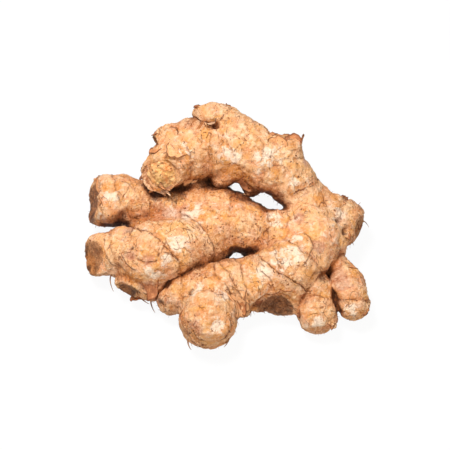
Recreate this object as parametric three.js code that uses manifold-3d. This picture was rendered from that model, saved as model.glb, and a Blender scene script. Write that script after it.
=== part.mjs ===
// A hand of fresh ginger: one knobbly rhizome that grew in one piece, lying on its underside.
// Millimetres, +Z up. The origin is on the surface that the hand lies on, below the middle of its
// outline. +X runs along the hand's longest side and -Y is the side that its stubby fingers point to.
//
// The rhizome is a set of short, thick branches. Each is a turned body, bent along its own centre
// line, and all of them are joined in one solid, which is then cut flat where it rests.

import * as THREE from "three";
import { mergeVertices } from "three/addons/utils/BufferGeometryUtils.js";
import Module from "manifold-3d";

// Driving dimensions.
const SIDES = 18; // flats round a branch
const RING_SPACING = 4; // distance between the rings of points along a branch
const CAP_RINGS = 5; // rings on the rounded end of a branch
const ROUND = 1; // end dome, as a share of the branch's radius: a grown, rounded tip
const CUT = 0.3; // the same where the branch was cut or snapped off: a nearly flat scar
const TABLE_SIZE = 300; // the block that trims the underside
const TABLE_DEPTH = 30;
const MERGE_DISTANCE = 1e-3; // points closer than this are one point
const SLIVER = 0.02; // faces thinner than this are taken out of the joined solid

const GINGER = { color: 0xd9a16e, roughness: 0.62, metalness: 0 };

// Centre lines. A station is [x, y, z, radius], from where a branch leaves its neighbour to its tip.
const BRANCHES = [
  // The raised branch that arches over the middle of the hand, from its tip back to the heel.
  { name: "arch", root: ROUND, tip: ROUND, stations: [
    [-34.5, 25.8, 39.2, 10.2], [-23.5, 36.5, 39.5, 14.5], [-8, 41.5, 39, 15.7], [8, 40.5, 38, 16],
    [21, 35.5, 35, 16.5], [31, 30.5, 31, 14], [40.5, 21.5, 25, 12.4], [48.5, 14.5, 20, 13]] },
  { name: "arch_crown", root: ROUND, tip: CUT, stations: [
    [13.5, 43.5, 40.5, 12], [3, 50.5, 45.3, 10.2], [-6, 54.5, 48.2, 8.8], [-14, 51.5, 48.6, 7.2]] },
  { name: "arch_left_bud", root: ROUND, tip: CUT, stations: [
    [-22, 43, 42, 11.8], [-30.5, 45.5, 44.5, 7.4], [-37, 42.8, 44.5, 4]] },
  { name: "stem_stub", root: ROUND, tip: CUT, stations: [
    [30, 31, 35, 12.6], [31, 37.5, 39.5, 10.6], [31.3, 44, 44.3, 9.6]] },
  { name: "arch_scale_bud", root: ROUND, tip: ROUND, stations: [
    [6, 32.5, 36, 9], [1, 30, 34, 6.4], [-3, 26.4, 31.3, 4.6]] },
  { name: "arch_round_bud", root: ROUND, tip: ROUND, stations: [
    [19, 30, 31, 10.3], [14.5, 25.5, 27, 5.8]] },

  // The heel at the right, where the old stem stood, and the core that runs left from it.
  { name: "heel", root: ROUND, tip: CUT, stations: [
    [46, 12, 20, 13.5], [56, 10, 15, 15.6], [64, 8.6, 14.6, 13.4], [70.2, 6.6, 14, 10.2]] },
  { name: "heel_flank", root: ROUND, tip: ROUND, stations: [[54, -1, 16, 13], [49, -11, 16, 13.8]] },
  { name: "core", root: ROUND, tip: ROUND, stations: [
    [19, 2.6, 17, 11.6], [33, 1.5, 18, 13.2], [46, 3, 18, 16.5]] },
  { name: "core_web", root: ROUND, tip: ROUND, stations: [
    [50, -3, 22, 12], [38, -6, 21, 11.5], [26, -6.5, 17, 11], [16.5, -8, 13, 8]] },

  // The front branch, with the big knob, two fingers and the scar of a third.
  { name: "front", root: ROUND, tip: ROUND, stations: [
    [46.5, -6.5, 17, 16.4], [33.5, -21.5, 17, 17], [18.5, -27.5, 15, 15], [4.5, -28, 14.5, 13.2],
    [-8, -30.5, 15, 13.4], [-19, -33, 14, 11.6], [-29, -35.5, 11.5, 7.8]] },
  { name: "front_scar", root: ROUND, tip: CUT, stations: [
    [31, -27, 14, 14.5], [29, -34, 12, 12.6], [27.5, -40, 10.8, 10.4]] },
  { name: "front_knob", root: ROUND, tip: ROUND, stations: [
    [-8, -34, 14, 12.6], [-9.3, -42, 14.2, 14.6], [-9.3, -49, 14.7, 15]] },
  { name: "front_knob_side", root: ROUND, tip: ROUND, stations: [
    [-1.5, -33.5, 13, 10.9], [7.5, -38.5, 10, 6.3]] },
  { name: "right_finger", root: ROUND, tip: ROUND, stations: [
    [44, -26.5, 14, 10.9], [48, -35, 11.2, 9.6], [48.5, -43.5, 10.2, 10.5]] },
  { name: "far_right_finger", root: ROUND, tip: ROUND, stations: [
    [53, -11.5, 15, 9], [59, -19, 13.5, 7.6], [64.5, -27, 12.8, 8.8], [67, -37.5, 12, 9.2]] },

  // The two left branches: the upper one ends in a knob, the lower one is the thickest of the hand.
  { name: "upper_left", root: ROUND, tip: CUT, stations: [
    [13.5, 5.5, 17, 13], [1.5, 9.5, 16.2, 16.4], [-9.5, 16.8, 15.2, 15.7], [-23.5, 17.5, 17, 13.3],
    [-41, 19, 18, 10.7], [-52, 21, 18.5, 12.6], [-61.5, 21.5, 19, 13.9], [-70.5, 20, 18.5, 12.4]] },
  { name: "upper_left_lip", root: ROUND, tip: ROUND, stations: [
    [-62, 16.5, 17, 10.1], [-68.5, 13.5, 16, 6.6]] },
  { name: "upper_left_back", root: ROUND, tip: ROUND, stations: [
    [-27, 24.5, 19, 9], [-16, 27, 21, 9.4], [-7, 23, 19, 8.6]] },
  { name: "lower_left", root: ROUND, tip: CUT, stations: [
    [2, 5, 17, 12], [-14.5, -5, 17, 16.8], [-29.5, -11.5, 17.9, 18], [-42.5, -14, 17.5, 17.7],
    [-53.5, -12, 16, 14], [-63, -11, 14.5, 11], [-72, -12, 14, 9.6]] },
  { name: "lower_left_lip", root: ROUND, tip: ROUND, stations: [
    [-58, -8, 16, 12.1], [-68.5, -6, 15, 6.9]] },
  { name: "lower_left_toe", root: ROUND, tip: CUT, stations: [
    [-44.5, -18, 15, 14.5], [-51, -26.5, 12, 9.4], [-53, -29.5, 10.5, 7.4]] },
  { name: "lower_left_heel", root: ROUND, tip: ROUND, stations: [
    [-35, -18.5, 15, 13.1], [-39, -27, 12, 9]] },
  { name: "lower_left_belly", root: ROUND, tip: ROUND, stations: [
    [-12, -9, 13, 10.5], [-20, -14, 13, 11]] },

  // The thick middle where the two left branches part.
  { name: "root_web", root: ROUND, tip: ROUND, stations: [
    [-26, 5, 18, 9.5], [-14, 6, 21, 11.5], [0, 4, 21, 13], [13, 0.5, 20, 12]] },
];

const wasm = await Module();
wasm.setup();

// Half of a turned profile's end: from the pole on the axis to the branch's full radius.
function capPoints(dome) {
  return Array.from({ length: CAP_RINGS }, (_, i) => {
    const angle = (i / CAP_RINGS) * (Math.PI / 2);
    return { radius: Math.sin(angle), beyond: dome * Math.cos(angle) };
  });
}

// A turned body of radius 1 whose shaft runs from y = 0 to y = 1, with a dome beyond each end.
function turnedBranch(root, tip, shaftRings) {
  const profile = [
    ...capPoints(root).map((p) => new THREE.Vector2(p.radius, -p.beyond)),
    ...Array.from({ length: shaftRings + 1 }, (_, i) => new THREE.Vector2(1, i / shaftRings)),
    ...capPoints(tip).reverse().map((p) => new THREE.Vector2(p.radius, 1 + p.beyond)),
  ];
  return new THREE.LatheGeometry(profile, SIDES);
}

// Bends a turned body along a branch's centre line and gives it the branch's radius at each place.
function bendAlong(geometry, path, girth, steps) {
  const frames = path.computeFrenetFrames(steps, false);
  const position = geometry.attributes.position;
  const place = new THREE.Vector3();
  for (let i = 0; i < position.count; i++) {
    const along = position.getY(i);
    const share = THREE.MathUtils.clamp(along, 0, 1);
    const step = Math.round(share * steps);
    const radius = girth.getPoint(share).x;
    place.copy(path.getPoint(share));
    place.addScaledVector(frames.normals[step], position.getX(i) * radius);
    place.addScaledVector(frames.binormals[step], -position.getZ(i) * radius);
    place.addScaledVector(frames.tangents[step], (along - share) * radius);
    position.setXYZ(i, place.x, place.y, place.z);
  }
  return geometry;
}

// A smooth curve through the points.
function curveThrough(points) {
  return new THREE.CatmullRomCurve3(points, false, "catmullrom");
}

function branchGeometry({ root, tip, stations }) {
  const path = curveThrough(stations.map(([x, y, z]) => new THREE.Vector3(x, y, z)));
  const girth = curveThrough(stations.map(([, , , radius]) => new THREE.Vector3(radius, 0, 0)));
  const steps = Math.max(2, Math.round(path.getLength() / RING_SPACING));
  return bendAlong(turnedBranch(root, tip, steps), path, girth, steps);
}

// A closed three.js geometry as a manifold-3d solid.
function solidFrom(geometry) {
  const bare = new THREE.BufferGeometry().setAttribute("position", geometry.attributes.position);
  bare.setIndex(geometry.index);
  const merged = mergeVertices(bare, MERGE_DISTANCE);
  const corners = merged.index.array;
  const triVerts = [];
  for (let i = 0; i < corners.length; i += 3) {
    const [a, b, c] = [corners[i], corners[i + 1], corners[i + 2]];
    if (a !== b && b !== c && c !== a) triVerts.push(a, b, c);
  }
  const mesh = new wasm.Mesh({
    numProp: 3,
    vertProperties: merged.attributes.position.array,
    triVerts: new Uint32Array(triVerts),
  });
  return new wasm.Manifold(mesh);
}

// A manifold-3d solid as a three.js geometry.
function geometryFrom(solid) {
  const { vertProperties, triVerts } = solid.getMesh();
  const geometry = new THREE.BufferGeometry();
  geometry.setAttribute("position", new THREE.BufferAttribute(vertProperties, 3));
  geometry.setIndex(new THREE.BufferAttribute(triVerts, 1));
  geometry.computeVertexNormals();
  return geometry;
}

function rhizomeGeometry() {
  const grown = BRANCHES.map(branchGeometry).map(solidFrom).reduce((whole, branch) => whole.add(branch));
  const table = new THREE.BoxGeometry(TABLE_SIZE, TABLE_SIZE, TABLE_DEPTH).translate(0, 0, -TABLE_DEPTH / 2);
  return geometryFrom(grown.subtract(solidFrom(table)).simplify(SLIVER));
}

const rhizome = new THREE.Mesh(rhizomeGeometry(), new THREE.MeshStandardMaterial(GINGER));
rhizome.name = "ginger_rhizome";

const hand = new THREE.Group();
hand.name = "ginger_hand";
hand.add(rhizome);

export default hand;
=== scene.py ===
"""A hand of fresh ginger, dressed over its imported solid: one ringed and scarred skin, the dry scales
that still cling to it, and its rootlets. Tables are in millimetres; MM turns them into metres."""

import bmesh
import bpy
import math
import numpy as np
import random
from mathutils import Matrix, Vector, bvhtree, noise


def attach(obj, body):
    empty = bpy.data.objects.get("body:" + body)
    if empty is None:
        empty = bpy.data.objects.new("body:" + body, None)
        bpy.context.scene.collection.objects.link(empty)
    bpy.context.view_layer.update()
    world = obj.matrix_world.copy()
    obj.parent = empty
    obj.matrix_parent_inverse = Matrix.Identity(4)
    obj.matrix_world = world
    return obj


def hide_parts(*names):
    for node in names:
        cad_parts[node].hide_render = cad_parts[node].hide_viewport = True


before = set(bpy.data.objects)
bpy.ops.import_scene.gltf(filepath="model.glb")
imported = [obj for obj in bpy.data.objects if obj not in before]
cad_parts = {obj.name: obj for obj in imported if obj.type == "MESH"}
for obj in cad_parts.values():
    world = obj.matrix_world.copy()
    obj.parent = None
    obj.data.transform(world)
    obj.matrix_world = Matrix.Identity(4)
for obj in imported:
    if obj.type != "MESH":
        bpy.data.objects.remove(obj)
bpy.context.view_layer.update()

# --- Camera -----------------------------------------------------------------------------------
# A long lens looks down on the hand as it lies on the table, square to its longest side, from so far
# away that the near branches look no bigger than the far ones.

MM = 0.001
LOOK_DOWN = math.radians(60)
LOOK_AT = Vector((-0.5, 6, 18)) * MM
CAMERA_AWAY = 810 * MM


def placed(name, data):
    """An object with the data, in the scene."""
    obj = bpy.data.objects.new(name, data)
    bpy.context.scene.collection.objects.link(obj)
    return obj


camera = placed("camera", bpy.data.cameras.new("camera"))
bpy.context.scene.camera = camera
camera.data.lens = 120
camera_back = Vector((0, -math.cos(LOOK_DOWN), math.sin(LOOK_DOWN)))
camera.location = LOOK_AT + camera_back * CAMERA_AWAY
camera.rotation_euler = camera_back.to_track_quat("Z", "Y").to_euler()

# --- Rhizome ----------------------------------------------------------------------------------
# The rhizome is one grown body of short, thick branches of firm flesh. Each is swept along its centre
# line as a ring that grows and shrinks, and all of them are melted into one skin.

ROUND = 1.0
CUT = 0.3
RING_SIDES = 28
LINE_STEP = 2.0
DOME_ANGLES = np.radians(np.arange(6, 90, 14))
SKIN_VOXEL = 0.78
FILLET_ROUNDS = 12

# Each branch's tip, ROUND where it grew or CUT where it was cut off, and its stations: x, y, z and
# radius, from where it leaves its neighbour to its tip.
BRANCHES = {
    "arch": (ROUND, [
        (-34.5, 25.8, 39.2, 10.2), (-23.5, 36.5, 39.5, 14.5), (-8, 41.5, 39, 15.7), (8, 40.5, 38, 16),
        (21, 35.5, 35, 16.5), (31, 30.5, 31, 14), (40.5, 21.5, 25, 12.4), (48.5, 14.5, 20, 13),
    ]),
    "arch_crown": (CUT, [
        (13.5, 43.5, 40.5, 12), (3, 50.5, 45.3, 10.2), (-6, 54.5, 48.2, 8.8), (-14, 51.5, 48.6, 7.2),
    ]),
    "arch_left_bud": (CUT, [(-22, 43, 42, 11.8), (-30.5, 45.5, 44.5, 7.4), (-37, 42.8, 44.5, 4)]),
    "stem_stub": (CUT, [(30, 31, 35, 12.6), (31, 37.5, 39.5, 10.6), (31.3, 44, 44.3, 9.6)]),
    "arch_scale_bud": (ROUND, [(6, 32.5, 36, 9), (1, 30, 34, 6.4), (-3, 26.4, 31.3, 4.6)]),
    "arch_round_bud": (ROUND, [(19, 30, 31, 10.3), (14.5, 25.5, 27, 5.8)]),
    "heel": (CUT, [
        (46, 12, 20, 13.5), (56, 10, 15, 15.6), (64, 8.6, 14.6, 13.4), (70.2, 6.6, 14, 10.2),
    ]),
    "heel_flank": (ROUND, [(54, -1, 16, 13), (49, -11, 16, 13.8)]),
    "core": (ROUND, [(19, 2.6, 17, 11.6), (33, 1.5, 18, 13.2), (46, 3, 18, 16.5)]),
    "core_web": (ROUND, [(50, -3, 22, 12), (38, -6, 21, 11.5), (26, -6.5, 17, 11), (16.5, -8, 13, 8)]),
    "front": (ROUND, [
        (46.5, -6.5, 17, 16.4), (33.5, -21.5, 17, 17), (18.5, -27.5, 15, 15), (4.5, -28, 14.5, 13.2),
        (-8, -30.5, 15, 13.4), (-19, -33, 14, 11.6), (-29, -35.5, 11.5, 7.8),
    ]),
    "front_scar": (CUT, [(31, -27, 14, 14.5), (29, -34, 12, 12.6), (27.5, -40, 10.8, 10.4)]),
    "front_knob": (ROUND, [(-8, -34, 14, 12.6), (-9.3, -42, 14.2, 14.6), (-9.3, -49, 14.7, 15)]),
    "front_knob_side": (ROUND, [(-1.5, -33.5, 13, 10.9), (7.5, -38.5, 10, 6.3)]),
    "right_finger": (ROUND, [(44, -26.5, 14, 10.9), (48, -35, 11.2, 9.6), (48.5, -43.5, 10.2, 10.5)]),
    "far_right_finger": (ROUND, [
        (53, -11.5, 15, 9), (59, -19, 13.5, 7.6), (64.5, -27, 12.8, 8.8), (67, -37.5, 12, 9.2),
    ]),
    "upper_left": (CUT, [
        (13.5, 5.5, 17, 13), (1.5, 9.5, 16.2, 16.4), (-9.5, 16.8, 15.2, 15.7), (-23.5, 17.5, 17, 13.3),
        (-41, 19, 18, 10.7), (-52, 21, 18.5, 12.6), (-61.5, 21.5, 19, 13.9), (-70.5, 20, 18.5, 12.4),
    ]),
    "upper_left_lip": (ROUND, [(-62, 16.5, 17, 10.1), (-68.5, 13.5, 16, 6.6)]),
    "upper_left_back": (ROUND, [(-27, 24.5, 19, 9), (-16, 27, 21, 9.4), (-7, 23, 19, 8.6)]),
    "lower_left": (CUT, [
        (2, 5, 17, 12), (-14.5, -5, 17, 16.8), (-29.5, -11.5, 17.9, 18), (-42.5, -14, 17.5, 17.7),
        (-53.5, -12, 16, 14), (-63, -11, 14.5, 11), (-72, -12, 14, 9.6),
    ]),
    "lower_left_lip": (ROUND, [(-58, -8, 16, 12.1), (-68.5, -6, 15, 6.9)]),
    "lower_left_toe": (CUT, [(-44.5, -18, 15, 14.5), (-51, -26.5, 12, 9.4), (-53, -29.5, 10.5, 7.4)]),
    "lower_left_heel": (ROUND, [(-35, -18.5, 15, 13.1), (-39, -27, 12, 9)]),
    "lower_left_belly": (ROUND, [(-12, -9, 13, 10.5), (-20, -14, 13, 11)]),
    "root_web": (ROUND, [
        (-45, 3, 15, 7), (-35, 4.5, 17, 8.4), (-26, 5, 18, 9.5), (-14, 6, 21, 11.5), (0, 4, 21, 13),
        (13, 0.5, 20, 12),
    ]),
}


def smooth_line(stations, step):
    """Rows about step apart on the smooth line through the stations, in millimetres."""
    knots = np.array(stations, float)
    knots = np.vstack([2 * knots[0] - knots[1], knots, 2 * knots[-1] - knots[-2]])
    line = []
    for before, a, b, after in zip(knots, knots[1:], knots[2:], knots[3:]):
        steps = max(2, round(np.linalg.norm(b[:3] - a[:3]) / step))
        for t in np.arange(steps) / steps:
            bend = 2 * before - 5 * a + 4 * b - after
            twist = 3 * a - before - 3 * b + after
            line.append(0.5 * (2 * a + (b - before) * t + bend * t**2 + twist * t**3))
    line.append(knots[-2])
    return np.array(line)


def heading(line):
    """Unit vectors along a line."""
    ahead = np.gradient(line[:, :3], axis=0)
    return ahead / np.linalg.norm(ahead, axis=1)[:, None]


def sweep(bm, rings, sides):
    """A closed tube through rings of (centre, radius, facing)."""
    centre, radius, facing = Vector(rings[0][0]), rings[0][1], Vector(rings[0][2])
    stand = Matrix.Translation(centre) @ facing.to_track_quat("Z", "Y").to_matrix().to_4x4()
    made = bmesh.ops.create_circle(bm, cap_ends=True, radius=radius, segments=sides, matrix=stand)
    edges = list({e for v in made["verts"] for e in v.link_edges})
    for next_centre, next_radius, next_facing in rings[1:]:
        next_centre, next_facing = Vector(next_centre), Vector(next_facing)
        grown = bmesh.ops.extrude_edge_only(bm, edges=edges)["geom"]
        turn = facing.rotation_difference(next_facing).to_matrix().to_4x4()
        scale = Matrix.Scale(next_radius / radius, 4)
        step = Matrix.Translation(next_centre) @ turn @ scale @ Matrix.Translation(-centre)
        bmesh.ops.transform(bm, matrix=step, verts=[g for g in grown if isinstance(g, bmesh.types.BMVert)])
        edges = [g for g in grown if isinstance(g, bmesh.types.BMEdge)]
        centre, radius, facing = next_centre, next_radius, next_facing
    bmesh.ops.contextual_create(bm, geom=edges)


def dome_rings(station, facing, reach):
    """Rings from the pole of a branch's end, which reaches beyond it by a share of its radius."""
    radius = station[3]
    pole = facing * radius * reach
    return [(station[:3] + pole * math.cos(a), radius * math.sin(a), facing) for a in DOME_ANGLES]


def sweep_branch(bm, line, tip_dome):
    """Sweeps a ring along the line, from a rounded root to a domed or flat tip."""
    ahead = heading(line)
    rings = dome_rings(line[0], ahead[0], -ROUND)
    rings += [(station[:3], station[3], facing) for station, facing in zip(line, ahead)]
    rings += dome_rings(line[-1], ahead[-1], tip_dome)[::-1]
    sweep(bm, rings, RING_SIDES)


def finished(name, bm):
    """An object in the scene with the bmesh's shape, which was drawn in millimetres."""
    bmesh.ops.scale(bm, vec=(MM, MM, MM), verts=bm.verts)
    mesh = bpy.data.meshes.new(name)
    bm.to_mesh(mesh)
    bm.free()
    mesh.shade_smooth()
    return placed(name, mesh)


def settled_mesh(obj):
    """The mesh that an object comes out as, with its modifiers or its curve's thickness."""
    bpy.context.view_layer.update()
    return bpy.data.meshes.new_from_object(obj.evaluated_get(bpy.context.evaluated_depsgraph_get()))


growth = bmesh.new()
for tip_dome, stations in BRANCHES.values():
    sweep_branch(growth, smooth_line(stations, LINE_STEP), tip_dome)
bmesh.ops.recalc_face_normals(growth, faces=growth.faces)
rhizome = finished("rhizome_skin", growth)
melt = rhizome.modifiers.new("melt", "REMESH")
melt.mode = "VOXEL"
melt.voxel_size = SKIN_VOXEL * MM
fillet = rhizome.modifiers.new("fillet", "SMOOTH")
fillet.iterations = FILLET_ROUNDS
fillet.factor = 0.5
melted = settled_mesh(rhizome)
rhizome.modifiers.clear()
rhizome.data = melted
melted.name = "rhizome_skin"
melted.shade_smooth()

# --- Skin relief ------------------------------------------------------------------------------
# The skin is never even: it swells between its nodes, steps at each node's ring, is rough where an
# end was cut or snapped, and keeps the edges of old scales. Every mark is placed on its own branch,
# by how far along it is and how many degrees round it, from the top towards the branch's right.

FAR = 99.0
FORWARD, UP, RIGHT = 0, 1, 2
HOLLOW_SPREAD = 5

count = len(melted.vertices)
edge_ends = np.empty(len(melted.edges) * 2, int)
melted.edges.foreach_get("vertices", edge_ends)
edge_ends = edge_ends.reshape(-1, 2)
degree = np.bincount(edge_ends.ravel(), minlength=count)


def skin_points():
    """Places and outward directions of the skin's points, in millimetres."""
    place = np.empty(count * 3)
    outward = np.empty(count * 3)
    melted.vertices.foreach_get("co", place)
    melted.vertices.foreach_get("normal", outward)
    return place.reshape(-1, 3) / MM, outward.reshape(-1, 3)


def move_skin(place):
    """Puts the skin's points at the places."""
    melted.vertices.foreach_set("co", (place * MM).ravel())
    melted.update()


def skin_tree():
    """The skin as it is now, for rays and nearest points, in millimetres."""
    places = [v.co / MM for v in melted.vertices]
    return bvhtree.BVHTree.FromPolygons(places, [p.vertices for p in melted.polygons])


def spread(values, rounds):
    """Values averaged with their neighbours' on the skin, a number of rounds."""
    one, other = edge_ends.T
    for _ in range(rounds):
        sums = [np.bincount(one, column[other], count) + np.bincount(other, column[one], count)
                for column in values.T]
        values = 0.5 * values + 0.5 * np.stack(sums, axis=1) / degree[:, None]
    return values


def ramp(values, low, high):
    """0 below low, 1 above high, smooth between. Low may be the larger."""
    t = np.clip((values - low) / (high - low), 0, 1)
    return t * t * (3 - 2 * t)


def ripple(place, size, octaves, shift):
    """Smooth noise of about the given size, in millimetres, at each place."""
    return np.array([noise.fractal(Vector(p), 1.0, 2.0, octaves) for p in place / size + shift])


class Limb:
    """A branch's centre line, with its directions at each row."""

    def __init__(self, stations):
        self.line = smooth_line(stations, LINE_STEP)
        ahead = heading(self.line)
        right = np.cross(ahead, (0, 0, 1))
        right /= np.linalg.norm(right, axis=1)[:, None]
        self.axes = np.stack([ahead, np.cross(right, ahead), right], axis=1)
        steps = np.linalg.norm(np.diff(self.line[:, :3], axis=0), axis=1)
        self.run = np.concatenate([[0], np.cumsum(steps)])

    def row(self, share):
        return int(np.argmin(np.abs(self.run - share * self.run[-1])))

    def nearest(self, place):
        """For each place, the nearest row and how far outside the branch it is there."""
        centre = self.line[:, :3]
        squares = (place**2).sum(axis=1)[:, None] - 2 * place @ centre.T + (centre**2).sum(axis=1)
        outside = np.sqrt(np.maximum(squares, 0)) - self.line[:, 3]
        return np.argmin(outside, axis=1), outside.min(axis=1)


def facing_on(limb, share, turn, tip):
    """A row's centre and a direction there: the branch's own, turned to its right and tipped up."""
    row = limb.row(share)
    turn, tip = math.radians(turn), math.radians(tip)
    facing = np.array([math.cos(turn) * math.cos(tip), math.sin(tip), math.sin(turn) * math.cos(tip)])
    return limb.line[row, :3], facing @ limb.axes[row]


def to_right(name, share, out):
    """The way along the skin to a branch's right, where the skin faces out."""
    limb = LIMBS[name]
    return np.cross(limb.axes[limb.row(share), FORWARD], out)


def on_skin(name, share, degrees):
    """The skin's place and outward direction at a share of a branch's length and degrees round it.
    At a share of 0 or 1 it is on the shoulder of that end."""
    limb = LIMBS[name]
    row = limb.row(share)
    angle = math.radians(degrees)
    out = math.cos(angle) * limb.axes[row, UP] + math.sin(angle) * limb.axes[row, RIGHT]
    if share in (0, 1):
        out = out + (2 * share - 1) * limb.axes[row, FORWARD]
        out /= np.linalg.norm(out)
    found, facing, _, _ = skin.find_nearest(Vector(limb.line[row, :3] + out * limb.line[row, 3]))
    return np.array(found), np.array(facing)


def rows_of(table):
    """The rows of a table that is listed by branch, each with its branch's name in front."""
    return [(name, *row) for name, rows in table.items() for row in rows]


LIMBS = {name: Limb(stations) for name, (_, stations) in BRANCHES.items()}

# The tables below list their rows by branch. Node rings: how far along the branch, turned to its
# right, tipped up, and how dark its line is.
RINGS = {
    "arch": [
        (0.13, 10, -15, 0.5), (0.31, 5, 5, 0.4), (0.44, -25, 20, 0.3), (0.57, -30, 0, 0.4),
        (0.73, -30, 30, 0.3), (0.84, 15, -15, 0.9),
    ],
    "arch_crown": [(0.3, -30, 10, 0.2), (0.6, -15, 10, 0.3)],
    "stem_stub": [(0.35, -10, 0, 0.5)],
    "heel": [(0.05, -20, 0, 0.7), (0.45, -5, 0, 0.3), (0.85, 0, 25, 0.4)],
    "core": [(0.15, -10, 0, 0.7), (0.55, 0, 0, 0.3)],
    "front": [
        (0.15, 0, -5, 0.4), (0.29, -25, -15, 1.0), (0.55, -15, 0, 0.6), (0.65, -25, 0, 0.6),
        (0.93, 15, 10, 0.4),
    ],
    "front_knob": [(0.3, 15, 25, 0.8), (0.9, 15, 20, 0.4)],
    "right_finger": [(0.15, 10, 15, 0.8), (0.7, 10, 0, 0.3)],
    "far_right_finger": [(0.4, 10, 0, 0.3), (0.75, 20, 20, 0.3), (0.98, 10, -15, 0.9)],
    "upper_left": [
        (0.17, -25, 15, 0.4), (0.33, 0, 0, 0.3), (0.5, 15, 5, 0.3), (0.66, 0, 0, 0.5),
        (0.84, -25, -15, 0.5),
    ],
    "lower_left": [(0.1, 0, 20, 0.4), (0.32, -15, 25, 0.8), (0.57, -40, 10, 1.0), (0.86, -15, 10, 0.5)],
}

# Edges of old scales, as arcs: how far along the branch, degrees round it, the arc's radius, where on
# its circle it starts and ends (0 towards the branch's tip, 90 to its right), and how dark it is.
SCALE_EDGES = {
    "arch_left_bud": [(0.55, -36, 5.0, 60, 200, 1.0)],
    "lower_left": [
        (0.40, -15, 8.0, 110, 190, 0.8), (0.52, -55, 10.0, 100, 170, 0.8),
        (0.75, -30, 9.0, -60, 40, 0.6), (0.6, -14, 7.0, 205, 325, 1.0), (0.59, -5, 14.0, 300, 350, 0.9),
    ],
    "upper_left": [(0.86, -20, 8.0, 100, 180, 0.6), (0.70, -45, 9.0, 210, 290, 0.6)],
    "root_web": [(0.55, 0, 9.0, 100, 200, 0.6)],
    "core": [(0.35, 40, 7.0, 180, 270, 0.8), (0.9, 20, 11.0, 220, 300, 0.5)],
    "front": [
        (0.2, 10, 11.0, 170, 290, 0.7), (0.5, -40, 14.0, 220, 300, 0.7), (0.62, 10, 9.0, -50, 40, 0.7),
    ],
    "front_knob": [(1, 0, 13.5, -5, 85, 1.5), (1, 5, 8.0, 10, 80, 1.5), (1, -20, 9.0, 230, 330, 1.2)],
    "arch": [(0.3, 0, 9.0, 40, 120, 0.5), (0.72, 60, 11.0, 210, 290, 0.7)],
    "heel": [(0.25, 10, 8.0, 170, 240, 0.8)], "right_finger": [(0.95, 10, 7.0, 120, 220, 0.6)],
}

# Swellings and pits: how far along, degrees round, width, and how far they stand out or go in.
SWELLINGS = {
    "upper_left": [(0.93, -60, 7.0, 2.4), (0.74, -95, 8.0, 2.2), (0.81, -70, 3.0, -2.0)],
    "lower_left": [
        (0.8, -60, 4.0, -1.6), (0.72, 50, 8.0, 2.0), (0.92, -10, 5.0, 1.2), (0.66, -13, 1.6, -1.4),
        (0.59, -12, 5.0, 1.0), (0.66, -30, 2.4, -1.2),
    ],
    "heel": [(0.62, 28, 2.2, -2.2), (0.74, 52, 2.8, -2.6), (0.75, 85, 4.0, -1.5)],
    "right_finger": [(1, -72, 2.4, 2.6), (1, 30, 5.0, 0.8), (0.1, -40, 4.0, -1.6)],
    "arch": [(0.03, -2, 2.6, -2.0), (0.2, 30, 7.0, 1.2), (0.62, 20, 8.0, 1.2)],
    "arch_crown": [
        (0.94, -64, 1.6, -2.2), (0.85, -68, 2.0, -3.0), (0.75, -70, 2.0, -3.0), (0.64, -72, 1.6, -2.2),
    ],
    "front_knob": [
        (1, 20, 6.0, 1.4), (1, -60, 5.0, 1.4), (1, 80, 5.0, -1.4), (0.7, 0, 7.0, 0.9),
        (1, -15, 4.0, -0.9), (0.4, 0, 8.0, 1.0), (1, 40, 3.0, -1.2),
    ],
    "front": [(1, -40, 3.0, -2.4), (0.35, 10, 8.0, 1.0)], "far_right_finger": [(0.6, 60, 6.0, 2.2)],
    "front_scar": [(0.9, 40, 4.0, -1.5)], "lower_left_toe": [(1, -20, 3.0, -2.6)],
}

# Ends that were cut or snapped: how far along the branch, turned to its right, tipped up, how
# far the face is from the centre line, its radius, how far its middle is dished in (out where that
# is negative), how rough it is, and its age, from fresh amber flesh (0) to an old brown scar (1).
CUT_ENDS = {
    "arch": (0.02, 150, 34, 4.8, 7.6, -1.8, 1.9, 0.0),
    "arch_left_bud": (1, -10, -10, 1.0, 3.6, 2.8, 0.3, 1.0),
    "arch_crown": (1, -40, 0, 2.2, 6.0, 3.2, 0.6, 1.0),
    "stem_stub": (1, 0, 0, 2.5, 7.8, 1.4, 1.0, 0.35), "heel": (1, 10, 20, 2.6, 6.0, -0.4, 1.0, 0.7),
    "front_scar": (1, 0, 33, 2.2, 9.4, 1.2, 1.5, 1.0),
    "upper_left": (1, 5, 28, 2.4, 9.5, 1.0, 0.8, 1.0),
    "lower_left": (1, -20, 44, 0.9, 9.4, -0.6, 1.0, 0.9),
    "lower_left_toe": (1, -10, 40, 1.6, 5.2, 3.0, 0.5, 1.0),
}

# Clefts where two branches press on each other: the two branches and how deep it is.
CLEFTS = [
    ("lower_left", "front", 1.6), ("lower_left_heel", "front", 1.6), ("lower_left_belly", "front", 1.4),
    ("right_finger", "far_right_finger", 3.0), ("front", "far_right_finger", 2.6),
    ("front", "right_finger", 0.5), ("upper_left_lip", "lower_left", 1.6),
    ("upper_left", "lower_left_lip", 1.4), ("upper_left", "lower_left", 1.0),
    ("lower_left", "lower_left_toe", 0.5), ("arch", "upper_left_back", 1.0),
    ("arch_scale_bud", "upper_left_back", 2.4), ("arch_scale_bud", "upper_left", 2.4),
]

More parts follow.
